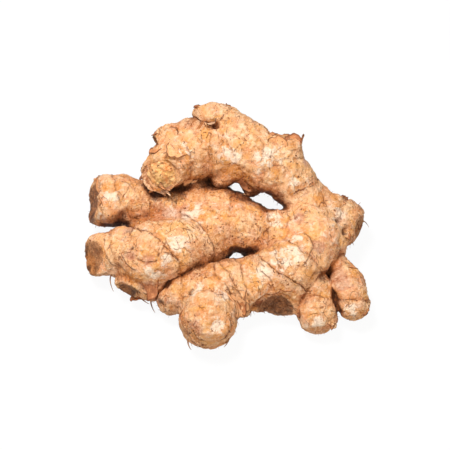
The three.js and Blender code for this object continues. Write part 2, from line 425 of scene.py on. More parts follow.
place, outward = skin_points()
skin = skin_tree()
waver = 1.6 * ripple(place, 9, 2, 11.0) + 0.6 * ripple(place, 2.8, 2, 3.0)
height = 1.0 * ripple(place, 15, 2, 0.0) + 0.75 * ripple(place, 6.5, 2, 40.0)
height += 0.3 * ripple(place, 2.2, 2, 80.0)
fold = ripple(place, 5.0, 2, 61.0)
height -= 0.3 * np.exp(-((fold / 0.14) ** 2))
height += 0.4 * np.maximum(ripple(place, 1.9, 2, 97.0), 0)

outside = {name: limb.nearest(place) for name, limb in LIMBS.items()}
depth, next_depth = np.sort([gap for _, gap in outside.values()], axis=0)[:2]

ring = np.full(count, FAR)
ring_shows = np.zeros(count)
new_skin = np.zeros(count)
for name, rings in RINGS.items():
    owned = ramp(outside[name][1] - depth, 3.0, 0.8)
    for share, turn, tip, dark in rings:
        centre, facing = facing_on(LIMBS[name], share, turn, tip)
        beyond = (place - centre) @ facing + waver
        shows = owned * ramp(np.linalg.norm(place - centre, axis=1), 30, 24)
        raised = ramp(beyond, -0.6, 0.6)
        off = np.abs(beyond)
        step = 0.42 * raised * np.exp(-off / 2.4) - 0.36 * (1 - raised) * np.exp(-off)
        step += 0.06 * np.sin(beyond * 5.5) * np.exp(-off / 2.5)
        height += shows * (0.4 + 0.6 * dark) * step
        new_skin = np.maximum(new_skin, shows * ramp(beyond, 0.2, 1.4) * ramp(beyond, 7.0, 3.0))
        nearer = (off < np.abs(ring)) & (shows > 0.02)
        ring[nearer] = beyond[nearer]
        ring_shows[nearer] = shows[nearer] * dark
height += 0.5 * ramp(np.abs(ring), 0, 6) * (ring < FAR)
ring_shows *= ramp(np.abs(ring), 3.4, 2.4)

crack = np.full(count, FAR)
crack_shows = np.zeros(count)
for name, share, degrees, radius, first, last, dark in rows_of(SCALE_EDGES):
    centre, out = on_skin(name, share, degrees)
    apart = place - centre
    right = to_right(name, share, out)
    bearing = np.degrees(np.arctan2(apart @ right, apart @ np.cross(out, right)))
    off_middle = np.abs((bearing - (first + last) / 2 + 180) % 360 - 180)
    off = np.linalg.norm(apart, axis=1) - radius + 0.8 * waver
    half = (last - first) / 2
    shows = ramp(off_middle, half + 8, half - 8) * (np.abs(apart @ out) < radius)
    height += shows * (0.4 + dark) * (0.24 - 0.46 * ramp(off, -0.6, 0.6)) * np.exp(-np.abs(off) / 1.2)
    nearer = (np.abs(off) < np.abs(crack)) & (shows > 0.02)
    crack[nearer] = off[nearer]
    crack_shows[nearer] = shows[nearer] * dark
crack_shows *= ramp(np.abs(crack), 3.4, 2.4)

cleft = np.zeros(count)
for one, other, deep in CLEFTS:
    gap, other_gap = outside[one][1], outside[other][1]
    here = ramp(np.maximum(gap, other_gap), 4.0, 1.5)
    here *= ramp(np.minimum(gap, other_gap) - depth, 1.5, 0.5)
    here *= np.exp(-np.abs(gap - other_gap + 0.4 * waver) / 0.9)
    height -= deep * here
    cleft = np.maximum(cleft, here * min(1, 0.3 + 0.5 * deep))

for name, share, degrees, width, rise in rows_of(SWELLINGS):
    centre, _ = on_skin(name, share, degrees)
    off = np.linalg.norm(place - centre, axis=1) + 0.4 * waver
    height += rise * np.exp(-(off / width) ** 2 * 1.4)

place += outward * height[:, None]

scar = np.zeros(count)
scar_age = np.zeros(count)
grit = 0.6 * ripple(place, 1.8, 3, 20.0) + 0.7 * ripple(place, 4.2, 3, 33.0)
for name, (share, turn, tip, away, radius, dish, rough, age) in CUT_ENDS.items():
    middle, facing = facing_on(LIMBS[name], share, turn, tip)
    apart = place - (middle + facing * away)
    rise = apart @ facing
    out = np.linalg.norm(apart - rise[:, None] * facing, axis=1) + (0.7 + 0.4 * rough) * waver
    dished = -dish * (1 - np.clip(out / radius, 0, 1) ** 2)
    dished += rough * grit * ramp(out, radius + 1.0, radius - 1.5)
    level = np.where(out < radius, dished, -((out - radius) ** 2) / (7 + 12 * (1 - age)))
    inside = ramp(out, radius * 1.5, radius * 1.2) * (np.abs(rise) < radius)
    pressed = inside * np.clip(rise - level, 0, None)
    place -= facing * pressed[:, None]
    face = ramp(out, radius + 0.8, radius - 1.0) * ramp(np.abs(rise - level - pressed), 2.0, 0.5)
    scar_age[face > scar] = age
    scar = np.maximum(scar, face)

place[:, 2] = np.maximum(place[:, 2], 0.02 * ripple(place, 3, 1, 5.0) + 0.03)
move_skin(place)
skin = skin_tree()

place, outward = skin_points()
hollow_fine = ((spread(place, HOLLOW_SPREAD) - place) * outward).sum(axis=1)

# How sheltered each point is: the share of a dome of short rays that the hand itself stops.
# The skin is coloured darker where it is sheltered, partly dirt and partly painted shade.
SHELTER_START = 0.4
SHELTER_REACH = 16
SHELTER_RAYS = 18
SHELTER_EVERY = 11
SHELTER_SPREAD = 14
GOLDEN_TURN = 2.39996

turn = (np.arange(SHELTER_RAYS) + 0.5) / SHELTER_RAYS
rise = np.sqrt(1 - 0.97 * turn)
swing = np.arange(SHELTER_RAYS) * GOLDEN_TURN
flat = np.sqrt(1 - rise**2)
dome = [Vector(ray) for ray in np.stack([flat * np.cos(swing), flat * np.sin(swing), rise], axis=1)]
blocked = np.zeros((count, 2))
for i in range(0, count, SHELTER_EVERY):
    facing = Vector(outward[i])
    start = Vector(place[i]) + facing * SHELTER_START
    aim = facing.to_track_quat("Z", "Y")
    hits = sum(skin.ray_cast(start, aim @ ray, SHELTER_REACH)[0] is not None for ray in dome)
    blocked[i] = hits / SHELTER_RAYS, 1
blocked = spread(blocked, SHELTER_SPREAD)
shelter = blocked[:, 0] / np.maximum(blocked[:, 1], 1e-9)
# How much the skin faces down. The colour paints shade there, and more fibres grow there.
under = ramp(outward[:, 2], 0.25, -0.75)

# --- Skin colour ------------------------------------------------------------------------------
# Fresh ginger is cream where its papery skin is thin, tan where it is whole, amber where it has
# rubbed through, mauve at young necks and brown with soil in its folds. Its pale patches are partly
# painted highlight, and its soil patches partly painted shade. Each is laid on as patches: how far
# along the branch, degrees round it, and the patch's radius.

# Pale patches: thin cream skin, and in part painted highlight.
PALE_AND_HIGHLIGHT = {
    "upper_left": [(0.9, -30, 4.5), (0.95, -65, 4)], "root_web": [(0.5, 10, 7), (0.3, -30, 5)],
    "lower_left": [(0.42, -20, 6), (0.5, -35, 4.5), (0.58, -60, 5), (0.6, -50, 4)],
    "front": [(0.23, 3, 11), (0.1, 15, 4), (0.4, -10, 6)], "core": [(1, 15, 5), (0.3, 0, 5)],
    "heel": [(0.4, 10, 5)], "front_knob": [(0.55, -35, 4), (0.45, 25, 5), (1, -25, 4.5)],
    "right_finger": [(1, 0, 5)], "far_right_finger": [(1, 30, 5)],
    "arch": [(0.62, 20, 8), (0.42, 45, 6), (0.16, 20, 5), (0.8, 20, 4)],
}
MAUVE = {
    "upper_left": [(0.57, -55, 8), (0.45, -45, 6), (1, -100, 5)],
    "lower_left": [(0.6, -31, 4), (0.66, -24, 4), (0.6, -82, 5)], "lower_left_heel": [(1, 120, 5)],
    "front": [(1, 0, 6), (0.06, -25, 5)], "far_right_finger": [(0.5, 30, 7), (0.7, 20, 6)],
    "front_knob": [(1, 35, 5)], "lower_left_lip": [(0, 30, 5)], "stem_stub": [(0.3, 80, 4)],
    "core": [(0.7, 0, 4)],
}
AMBER = {
    "arch": [(0, 55, 9), (0, 110, 7), (0.16, 100, 6), (0.97, -5, 6), (0.5, 80, 8)],
    "arch_scale_bud": [(0.5, 0, 7)], "front_knob": [(1, -45, 7), (1, 180, 8), (1, -120, 7)],
    "lower_left": [(0.88, -30, 5), (0.66, -70, 5), (1, -50, 6), (0.64, -66, 4)],
    "core_web": [(1, -30, 7)], "front": [(0.2, -50, 7)], "upper_left": [(0.9, -5, 5)],
    "heel": [(0.3, 0, 5)], "front_knob_side": [(0.6, 0, 6)],
}
# Soil and painted shade in pits and at cut ends. The three patches at 0.5 to 0.62 along the upper left
# branch paint the shadow under the arch's tip.
SOIL_AND_SHADOW = {
    "upper_left": [
        (0.8, -85, 5), (0.5, -5, 5), (0.56, 0, 5), (0.62, -5, 5), (1, -80, 5), (1, 40, 2.4), (1, -60, 2.4),
    ],
    "lower_left": [(0.35, -65, 5), (0.66, -13, 1.6), (1, 50, 2.6), (1, 5, 2.2), (1, -90, 2.4)],
    "arch_crown": [(0.94, -68, 2.6), (0.85, -72, 3.0), (0.75, -76, 3.0), (0.64, -78, 2.6)],
    "arch_left_bud": [(1, 30, 3.5)], "heel": [(0.62, 28, 2.2), (0.74, 52, 3.0), (0.68, -36, 2)],
    "front": [(1, -30, 4), (0.86, -28, 3)], "right_finger": [(0.1, -35, 5)],
    "lower_left_toe": [(1, -20, 4.5)], "arch_round_bud": [(1, 0, 4)], "arch_scale_bud": [(1, 150, 4)],
    "arch": [(0.03, -2, 2.4)],
}
GRIME = {
    "upper_left": [(1, 0, 10), (1, -90, 9), (0.6, -70, 10)],
    "lower_left": [(1, -20, 11), (0.33, -60, 12), (0.75, -60, 9)], "front_knob": [(1, 60, 8)],
    "heel": [(1, 0, 14)], "front": [(1, -30, 9)], "root_web": [(0.8, 60, 10)], "core": [(0.2, 60, 9)],
    "arch_crown": [(1, 0, 9)], "front_scar": [(0.5, 0, 10)], "far_right_finger": [(0.05, 0, 9)],
    "arch": [(0.5, 110, 10), (0, 0, 9)],
}


def patches(table):
    """How much each point of the skin lies in the table's patches."""
    share_in = np.zeros(count)
    for name, share, degrees, radius in rows_of(table):
        centre, _ = on_skin(name, share, degrees)
        apart = np.linalg.norm(place - centre, axis=1) / radius + 0.22 * waver
        share_in = np.maximum(share_in, ramp(apart, 1.3, 0.3))
    return share_in


# Each point's place in its own branch's directions, for marks that follow the growth. A shift along
# the branch keeps the marks of one branch from repeating on the next.
BRANCH_SHIFT = 60
grain = np.zeros((count, 3))
for number, (name, limb) in enumerate(LIMBS.items()):
    rows, gap = outside[name]
    here = gap <= depth + 1e-6
    apart = place[here] - limb.line[rows[here], :3]
    local = np.einsum("ij,ikj->ik", apart, limb.axes[rows[here]])
    local[:, FORWARD] += limb.run[rows[here]] + BRANCH_SHIFT * number
    grain[here] = local
own_grain = ramp(next_depth - depth, 0.8, 2.6)

skin_values = {
    "own_grain": own_grain, "shelter": shelter, "under": under, "hollow_fine": hollow_fine,
    "ring": ring, "ring_shows": ring_shows, "crack": crack, "crack_shows": crack_shows,
    "new_skin": new_skin, "cleft": cleft, "scar": scar, "scar_age": scar_age,
    "pale_and_highlight": patches(PALE_AND_HIGHLIGHT), "mauve": patches(MAUVE), "amber": patches(AMBER),
    "soil_and_shadow": patches(SOIL_AND_SHADOW), "grime": patches(GRIME),
}
for name, values in skin_values.items():
    melted.attributes.new(name, "FLOAT", "POINT").data.foreach_set("value", values)
melted.attributes.new("grain", "FLOAT_VECTOR", "POINT").data.foreach_set("vector", grain.ravel())


def linear(red, green, blue):
    """A colour written as 0 to 255 in sRGB, as the shaders want it."""
    shares = (red / 255, green / 255, blue / 255)
    return (*(c / 12.92 if c < 0.04045 else ((c + 0.055) / 1.055) ** 2.4 for c in shares), 1)


def add(kind, inputs=None, **settings):
    """A node in tree, the material or group in hand, with its settings and its values or links."""
    node = tree.nodes.new("ShaderNode" + kind)
    for name, value in settings.items():
        setattr(node, name, value)
    for name, value in (inputs or {}).items():
        if isinstance(value, bpy.types.NodeSocket):
            tree.links.new(value, node.inputs[name])
        else:
            node.inputs[name].default_value = value
    return node


def math_of(operation, a, b=0.0, c=0.0):
    return add("Math", {0: a, 1: b, 2: c}, operation=operation).outputs[0]


def vector_of(operation, a, b):
    return add("VectorMath", {0: a, 1: b}, operation=operation).outputs[0]


def scaled(vector, scale):
    return add("VectorMath", {0: vector, "Scale": scale}, operation="SCALE").outputs[0]


def times(a, b):
    return math_of("MULTIPLY", a, b)


def plus(value, more, weight):
    return math_of("MULTIPLY_ADD", more, weight, value)


def stirred(value, grains, amount):
    """The value, moved up and down by noise."""
    return plus(value, math_of("SUBTRACT", grains, 0.5), amount)


def band(value, low, high):
    """0 at low, 1 at high, smooth between."""
    inputs = {"Value": value, "From Min": low, "From Max": high}
    return add("MapRange", inputs, interpolation_type="SMOOTHSTEP").outputs["Result"]


def blend(share, below, over):
    return add("Mix", {0: share, 6: below, 7: over}, data_type="RGBA").outputs[2]


def coated(colour, coats):
    """The colour with others laid over it: where each lies, how strong it is, and its colour."""
    for share, weight, over in coats:
        colour = blend(times(share, weight), colour, linear(*over))
    return colour


def value_at(name, output="Fac"):
    return add("Attribute", attribute_name=name).outputs[output]


def spot_on_piece():
    """The place on the piece, in millimetres."""
    return scaled(add("TexCoord").outputs["Object"], 1 / MM)


def noise_at(vector, size, detail=3.0, roughness=0.55, distortion=0.0):
    """Noise from 0 to 1 with features of about the given size, in millimetres."""
    kind = {"Scale": 1 / size, "Detail": detail, "Roughness": roughness, "Distortion": distortion}
    return add("TexNoise", {"Vector": vector, **kind}).outputs["Fac"]


# Small dark marks: round specks, or short dashes where the vector is squeezed across the branch.
MARKS = bpy.data.node_groups.new("skin_marks", "ShaderNodeTree")
tree = MARKS
for name, kind in (("Vector", "Vector"), ("Size", "Float"), ("Share", "Float")):
    tree.interface.new_socket(name, in_out="INPUT", socket_type="NodeSocket" + kind)
tree.interface.new_socket("Marks", in_out="OUTPUT", socket_type="NodeSocketFloat")
given = tree.nodes.new("NodeGroupInput").outputs
cells = add("TexVoronoi", {"Vector": given["Vector"], "Scale": math_of("DIVIDE", 1.0, given["Size"])})
luck = add("SeparateColor", {"Color": cells.outputs["Color"]}).outputs
chosen = band(math_of("SUBTRACT", given["Share"], luck[0]), 0.0, 0.03)
radius = plus(0.1, luck[1], 0.2)
dot = band(math_of("SUBTRACT", radius, cells.outputs["Distance"]), -0.02, 0.07)
tree.links.new(times(chosen, dot), tree.nodes.new("NodeGroupOutput").inputs["Marks"])


def marks(vector, size, share):
    inputs = {"Vector": vector, "Size": size, "Share": share}
    return add("Group", inputs, node_tree=MARKS).outputs["Marks"]


def new_material(name):
    material = bpy.data.materials.new(name)
    material.use_nodes = True
    material.node_tree.nodes.clear()
    return material, material.node_tree


def close_material(colour, roughness, bump_height, depth_mm, specular):
    """Ends a material in a Principled shader with bump."""
    bump = add("Bump", {"Height": bump_height, "Distance": depth_mm * MM, "Strength": 1.0}).outputs[0]
    look = {"Base Color": colour, "Roughness": roughness, "Normal": bump, "Specular IOR Level": specular}
    add("OutputMaterial", {"Surface": add("BsdfPrincipled", look).outputs[0]})


skin_coat, tree = new_material("ginger_skin")
spot = spot_on_piece()
grow = value_at("grain", "Vector")
fibrous = vector_of("MULTIPLY", grow, (0.22, 1.0, 1.0))
crosswise = vector_of("MULTIPLY", grow, (1.0, 0.3, 0.3))
cloud = noise_at(spot, 13, 3, 0.6, 0.3)
hue = noise_at(spot, 6.5, 3, 0.6, 0.5)
mottle = noise_at(spot, 3.4, 5, 0.68, 0.5)
fine = noise_at(spot, 0.95, 4, 0.7, 0.3)

# Streaks and wrinkles fade to the noise's middle where two branches, and so two directions of
# growth, meet.
own = value_at("own_grain")
streak = stirred(0.5, noise_at(fibrous, 1.0, 4, 0.6, 0.5), own)
wrinkle = stirred(0.5, noise_at(crosswise, 1.3, 3, 0.6, 0.6), own)


def shaken(vector, size, amount):
    """The vector, pushed about by noise so that marks on it lose their round shapes."""
    push = add("TexNoise", {"Vector": vector, "Scale": 1 / size, "Detail": 2.0}).outputs["Color"]
    push = scaled(vector_of("SUBTRACT", push, (0.5, 0.5, 0.5)), amount)
    return vector_of("ADD", vector, push)


def patchy(name, low=0.12, high=0.95, torn=1.0):
    """A patch attribute with its edge broken up."""
    return band(stirred(stirred(value_at(name), mottle, 1.6 * torn), hue, 1.2 * torn), low, high)


def hairline(vector, size, width, keep):
    """Thin, short, wandering strokes where noise of the given size crosses its middle."""
    level = math_of("ABSOLUTE", math_of("SUBTRACT", noise_at(vector, size, 1, 0.4, 0.4), 0.5))
    kept = band(noise_at(vector, size * 0.8, 2), keep, keep + 0.07)
    return times(band(level, width, width * 0.3), kept)


# Whole skin, from its large blotches to its fine grain. It is clean in places and darker in others:
# grime where noise and the grime patches put it, and painted shade where the skin is sheltered or
# faces down.
grime_and_shade = plus(noise_at(spot, 12, 3, 0.6, 0.6), value_at("shelter"), 0.35)
grime_and_shade = plus(plus(grime_and_shade, value_at("under"), 0.3), value_at("grime"), 0.2)
grime_and_shade = plus(0.2, band(grime_and_shade, 0.46, 0.66), 0.8)
colour = blend(band(cloud, 0.35, 0.65), linear(220, 146, 86), linear(242, 186, 132))
colour = coated(colour, [
    (band(hue, 0.50, 0.62), 0.5, (230, 154, 112)),
    (band(hue, 0.48, 0.36), 0.55, (236, 166, 82)),
    (band(mottle, 0.50, 0.66), 0.6, (255, 222, 182)),
    (times(band(mottle, 0.47, 0.34), grime_and_shade), 0.70, (190, 108, 50)),
    (patchy("amber"), 0.65, (222, 140, 58)),
    (patchy("mauve"), 0.6, (196, 132, 108)),
    (patchy("new_skin", 0.3, 1.1), 0.22, (255, 224, 186)),
    (patchy("pale_and_highlight", 0.3, 1.2, 2.2), 0.68, (255, 238, 214)),
    (patchy("grime"), 0.4, (182, 106, 50)),
    (times(band(streak, 0.52, 0.66), grime_and_shade), 0.5, (160, 92, 44)),
    (times(band(fine, 0.53, 0.65), grime_and_shade), 0.65, (150, 82, 34)),
    (band(fine, 0.45, 0.35), 0.35, (255, 232, 198)),
])

# Rubbed high spots lighter. Hollows and sheltered places darker, down to near black: partly dirt,
# partly painted shade. Skin that faces down is darker as well, which is painted shade.
hollow = value_at("hollow_fine")
sheltered_dirt_and_shade = stirred(stirred(value_at("shelter"), mottle, 0.6), fine, 0.35)
colour = coated(colour, [
    (band(hollow, 0.0, -0.25), 0.25, (255, 226, 186)),
    (band(plus(hollow, mottle, 0.20), 0.14, 0.36), 0.5, (146, 74, 24)),
    (band(sheltered_dirt_and_shade, 0.08, 0.42), 0.5, (190, 106, 44)),
    (band(sheltered_dirt_and_shade, 0.30, 0.60), 0.80, (112, 50, 10)),
    (band(sheltered_dirt_and_shade, 0.46, 0.76), 0.9, (40, 17, 6)),
    (value_at("under"), 0.5, (168, 92, 36)),
])

# Specks and dashes of dirt, creases and cracks.
specks = marks(shaken(spot, 0.8, 1.3), 1.7, 0.36)
dashes = times(marks(crosswise, 1.5, 0.32), own)
dirt = times(math_of("MAXIMUM", specks, times(dashes, 0.8)), grime_and_shade)
cracks = times(hairline(crosswise, 7.0, 0.010, 0.53), own)
cracks = math_of("MAXIMUM", hairline(spot, 14.0, 0.006, 0.58), cracks)
creases = times(hairline(crosswise, 3.0, 0.018, 0.51), own)
colour = coated(colour, [
    (dirt, 0.9, (92, 40, 12)),
    (creases, 0.65, (130, 66, 26)),
    (cracks, 0.6, (128, 60, 20)),
])


def thin_line(name, width):
    """A dark line where a signed distance on the skin is zero."""
    off = math_of("ABSOLUTE", stirred(value_at(name), mottle, 1.6))
    return times(band(off, width, width * 0.2), value_at(name + "_shows"))


# The dark lines of the rings and of the old scales' edges, each in a soft shade.
break_up = band(noise_at(spot, 4.0, 3), 0.36, 0.54)
lines = times(math_of("MAXIMUM", thin_line("ring", 0.40), thin_line("crack", 0.38)), break_up)
shade = math_of("MAXIMUM", thin_line("ring", 1.6), thin_line("crack", 1.2))
colour = coated(colour, [
    (times(shade, plus(0.3, break_up, 0.7)), 0.42, (160, 92, 46)),
    (lines, 0.88, (96, 40, 10)),
])

# Cut faces: amber flesh where it is fresh, dark brown and corky where it is old.
flesh = blend(band(mottle, 0.36, 0.60), linear(236, 144, 74), linear(255, 206, 142))
flesh = coated(flesh, [
    (times(band(hue, 0.54, 0.60), value_at("amber")), 0.4, (255, 204, 104)),
    (band(streak, 0.54, 0.66), 0.3, (182, 96, 44)),
    (band(fine, 0.54, 0.66), 0.5, (168, 88, 40)),
])
cork = blend(band(mottle, 0.36, 0.62), linear(84, 48, 30), linear(166, 104, 62))
cork = coated(cork, [
    (band(fine, 0.48, 0.66), 1.0, (62, 32, 16)),
    (value_at("amber"), 0.6, (196, 116, 50)),
])
cut_face = value_at("scar")
bare = band(stirred(cut_face, mottle, 1.6), 0.3, 0.9)
colour = blend(times(bare, 0.9), colour, blend(value_at("scar_age"), flesh, cork))

# The dry brown rim of a cut face; soil and painted shade in the pits; and painted shade, near black,
# along the clefts where branches press together.
rim = times(band(cut_face, 0.05, 0.35), band(cut_face, 0.75, 0.45))
rim = times(rim, times(band(mottle, 0.56, 0.42), band(fine, 0.38, 0.55)))
soil_and_shadow_mask = stirred(stirred(value_at("soil_and_shadow"), mottle, 2.2), fine, 0.8)
cleft_shade = stirred(value_at("cleft"), mottle, 1.2)
colour = coated(colour, [
    (rim, 0.8, (104, 56, 24)),
    (band(soil_and_shadow_mask, 0.3, 1.3), 0.85, (66, 32, 12)),
    (band(cleft_shade, 0.10, 0.55), 0.6, (150, 80, 28)),
    (band(cleft_shade, 0.40, 0.90), 0.85, (52, 24, 10)),
])

bumps = times(mottle, 0.9)
for what, weight in (
    (fine, 0.5), (streak, 0.5), (wrinkle, 0.4), (math_of("MAXIMUM", lines, cracks), -0.35),
    (creases, -0.2), (dirt, 0.2),
):
    bumps = plus(bumps, what, weight)
close_material(colour, 0.6, bumps, 1.5, 0.25)
rhizome.data.materials.clear()
rhizome.data.materials.append(skin_coat)
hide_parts("ginger_rhizome")
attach(rhizome, "root")

# --- Dry scales -------------------------------------------------------------------------------
# Papery leaf scales, once wrapped round the young buds, still cling at some nodes. Each grew from a
# line on the skin, hugs it for a while, then lifts off to a torn free edge.

SCALE_GRID = 0.5
SCALE_THICKNESS = 0.25
SCALE_SINK = -0.4
SCALE_SMOOTH = 3
FLAKE_COUNT = 300
TABLE_CLEAR = 1.5

# How far along the branch and degrees round it the middle of the scale's root line is. Then the way
# it points (0 to the branch's tip, 90 to its right), the root line's width, its length, the share of
# it that clings, how far it curls up in degrees, how pointed it is (0 a strip, 1 a leaf), how torn
# its edge is, and its tone (0 tan, 1 dark brown, below 0 pale and papery).
DRY_SCALES = {
    # The broken tip of the arch, with its collar and the shreds below it.
    "arch": [
        (0.10, 10, 185, 14, 5.0, 0.4, 60, 0.2, 0.8, 0.0),
        (0.05, -45, 180, 10, 4.5, 0.4, 30, 0.2, 0.9, 0.5),
        (0, 122, 70, 5, 5.5, 0.2, 70, 0.5, 1.0, -0.3), (0, 100, 60, 4, 5.0, 0.2, 50, 0.6, 1.0, 0.0),
        (0, 142, 95, 6, 5.5, 0.2, 70, 0.4, 1.0, -0.3), (0.08, 105, 100, 7, 5.0, 0.4, 40, 0.3, 0.9, 0.1),
        (0, 165, 120, 6, 5.0, 0.2, 60, 0.4, 1.0, 0.5), (0.14, 112, 95, 5, 4.5, 0.3, 50, 0.4, 1.0, -0.2),
        (0, -90, -90, 7, 4.5, 0.3, 30, 0.3, 0.9, 1.0), (0, -130, -110, 6, 4.5, 0.3, 30, 0.3, 0.9, 0.8),
    ],
    # The bud at the arch's left, the arch's crown and the stub of the stem.
    "arch_left_bud": [
        (0.7, -85, 0, 3, 9.0, 0.5, 4, 0.9, 0.2, 0.6), (0.85, 40, 10, 5, 3.6, 0.4, 20, 0.4, 0.8, 0.8),
    ],
    "arch_crown": [
        (0.88, -44, -85, 8, 2.4, 0.3, 25, 0.1, 0.9, -0.3),
        (0.98, -60, -40, 7, 4.0, 0.3, 40, 0.1, 0.9, 0.4),
        (0.95, 40, 20, 6, 3.0, 0.3, 60, 0.2, 0.95, 0.7), (0.6, 60, 30, 6, 3.0, 0.3, 60, 0.2, 0.95, 0.6),
    ],
    "stem_stub": [
        (0.85, 180, 0, 16, 4.6, 0.4, 35, 0.0, 0.95, 0.2), (0.9, 70, 0, 10, 5.0, 0.4, 30, 0.0, 1.0, 0.6),
        (0.88, -70, 0, 10, 5.4, 0.4, 35, 0.0, 1.0, 0.5),
        (0.93, -20, 0, 11, 4.4, 0.4, 25, 0.0, 1.0, 0.1), (0.95, 30, 0, 9, 4.0, 0.4, 30, 0.0, 1.0, 0.7),
    ],
    # The round bud on the arch's underside.
    "arch_round_bud": [(0.5, 40, 0, 12, 5.5, 0.7, 15, 0.2, 0.8, 0.7)],
    # The flaps below the lower left branch.
    "lower_left": [(0.6, -76, -92, 10, 11.0, 0.6, 14, 0.45, 0.7, 0.7)],
    "lower_left_heel": [(1, 120, 0, 9, 6.5, 0.4, 15, 0.1, 0.8, 0.6)],
    # The knob's bracts and its curved side scale.
    "front": [
        (0.62, -42, -102, 14, 19.0, 0.8, 10, 0.45, 0.25, 0.0),
        (0.55, -62, -100, 6, 12.0, 0.4, 30, 0.6, 0.5, 0.6),
    ],
    "front_knob": [(0.9, 70, 0, 5, 10.0, 0.85, 6, 0.8, 0.2, 0.6)],
    # Round the scar, the fingers, the heel and the end of the upper left branch.
    "front_scar": [
        (0.55, 0, 10, 14, 3.6, 0.7, 12, 0.1, 0.8, 0.5), (0.6, 80, 0, 6, 4.5, 0.5, 15, 0.6, 0.8, 0.9),
    ],
    "right_finger": [
        (1, -60, 0, 5, 4.0, 0.6, 8, 0.9, 0.3, 0.5), (0.8, 85, 0, 6, 4.0, 0.6, 12, 0.4, 0.8, 0.9),
    ],
    "far_right_finger": [
        (0.45, -40, -20, 9, 5.0, 0.8, 8, 0.4, 0.2, 0.3), (1, -80, 0, 6, 4.5, 0.6, 6, 0.9, 0.2, 0.4),
    ],
    "heel": [
        (0.68, -38, -60, 5, 3.0, 0.3, 60, 0.2, 0.95, 1.0),
        (0.9, -80, 20, 6, 3.6, 0.4, 40, 0.3, 0.9, 0.8), (1, 0, 60, 6, 3.0, 0.5, 30, 0.3, 0.9, 0.8),
        (0.8, 60, 10, 6, 3.6, 0.6, 12, 0.2, 0.8, 0.6),
    ],
    "upper_left": [
        (0.97, 20, 0, 12, 3.6, 0.6, 12, 0.0, 0.9, 0.4), (0.97, -30, 0, 9, 3.2, 0.6, 10, 0.0, 0.9, 0.3),
    ],
}


def flattened(way, facing):
    """The way, turned into the plane that the facing stands on."""
    way = way - facing * (way @ facing)
    return way / np.linalg.norm(way)


def snapped(point, above):
    """The point moved to a height above the nearest skin, and the skin's outward direction there."""
    found, facing, _, _ = skin.find_nearest(Vector(point))
    return np.array(found + facing * above), np.array(facing)


def above_skin(point, least):
    """The point, lifted where it is in or too near the skin."""
    found, facing, _, away = skin.find_nearest(Vector(point))
    height_over = (Vector(point) - found).dot(facing)
    if height_over < least and away < 4:
        return np.array(Vector(point) + facing * (least - height_over))
    return np.array(point)


def raggedness(across, seed, kind):
    """Noise along a scale's edge, another for each seed and kind."""
    return noise.noise(Vector((across, seed, kind)))


def scale_rows(middle, grows, width, length, clings, curl, pointed, torn, seed):
    """Rows of points of one dry scale, from its root line to its free edge."""
    middle, out = snapped(middle, 0)
    grows = flattened(grows, out)
    across = np.cross(out, grows)
    columns = max(4, round(width / SCALE_GRID))
    rows = max(4, round(length / SCALE_GRID))
    gone = np.arange(rows) / (rows - 1)
    grid = np.zeros((rows, columns, 3))
    for column, side in enumerate(np.linspace(-1, 1, columns)):
        tear = raggedness(side * width / 3.5, seed, 3.0) + 0.7 * raggedness(side * width, seed, 7.0)
        whole = length * (1 - 0.3 * pointed * side**2 - 0.4 * side**4) * (1 + 0.75 * torn * tear)
        step = whole / (rows - 1)
        offset = side * width / 2 * (1 - pointed * gone**1.4)
        behind = 0.16 * width * side**2 + 0.8 * raggedness(side * width / 2.5, seed, 11.0)
        point, facing = snapped(middle + across * offset[0] - grows * behind, SCALE_SINK)
        way, aside = grows, across
        grid[0, column] = point
        for row in range(1, rows):
            way, aside = flattened(way, facing), flattened(aside, facing)
            point = point + way * step + aside * (offset[row] - offset[row - 1])
            if gone[row] <= clings:
                point, facing = snapped(point, min(0.1, 2.4 * gone[row] + SCALE_SINK) + 0.3 * gone[row])
            else:
                bend = math.radians(curl) * step / whole / (1 - clings)
                kept, turned = math.cos(bend), math.sin(bend)
                way, facing = way * kept + facing * turned, facing * kept - way * turned
                point = above_skin(point, 0.3)
            grid[row, column] = point
    for _ in range(SCALE_SMOOTH):
        around = grid.copy()
        around[1:-1] += 0.5 * (grid[2:] + grid[:-2]) - grid[1:-1]
        around[:, 1:-1] += 0.5 * (grid[:, 2:] + grid[:, :-2]) - grid[:, 1:-1]
        grid[1:] = 0.5 * grid[1:] + 0.5 * around[1:]
    return grid


scales = bmesh.new()
LAYERS = [scales.verts.layers.float.new(name) for name in ("tone", "run", "rim", "span")]


def draw_scale(rows, tone, seed):
    """One sheet through the rows. Each point keeps the sheet's tone, how far out from the root it is
    (0 to 1), its distance from the free edges, and its place across the sheet."""
    long, wide = np.linalg.norm(rows[-1, 0] - rows[0, 0]), np.linalg.norm(rows[0, -1] - rows[0, 0])
    made = []
    for number, row in enumerate(rows):
        made.append([scales.verts.new(point) for point in row])
        run = number / (len(rows) - 1)
        for column, vert in enumerate(made[-1]):
            side = abs(2 * column / (len(row) - 1) - 1)
            rim = min((1 - run) * long, (1 - side) * wide / 2)
            for layer, value in zip(LAYERS, (tone, run, rim, column * SCALE_GRID + 20 * seed)):
                vert[layer] = value
    for low, high in zip(made, made[1:]):
        for corners in zip(low, low[1:], high[1:], high):
            scales.faces.new(corners)


def pointing(name, share, degrees, toward):
    """A place on the skin, its outward direction, and a way along the skin there, in degrees from
    the branch's tip towards its right."""
    start, out = on_skin(name, share, degrees)
    right = to_right(name, share, out)
    toward = math.radians(toward)
    return start, out, math.cos(toward) * np.cross(out, right) + math.sin(toward) * right


for seed, (name, share, degrees, toward, *shape, tone) in enumerate(rows_of(DRY_SCALES)):
    middle, _, grows = pointing(name, share, degrees, toward)
    draw_scale(scale_rows(middle, grows, *shape, seed), tone, seed)

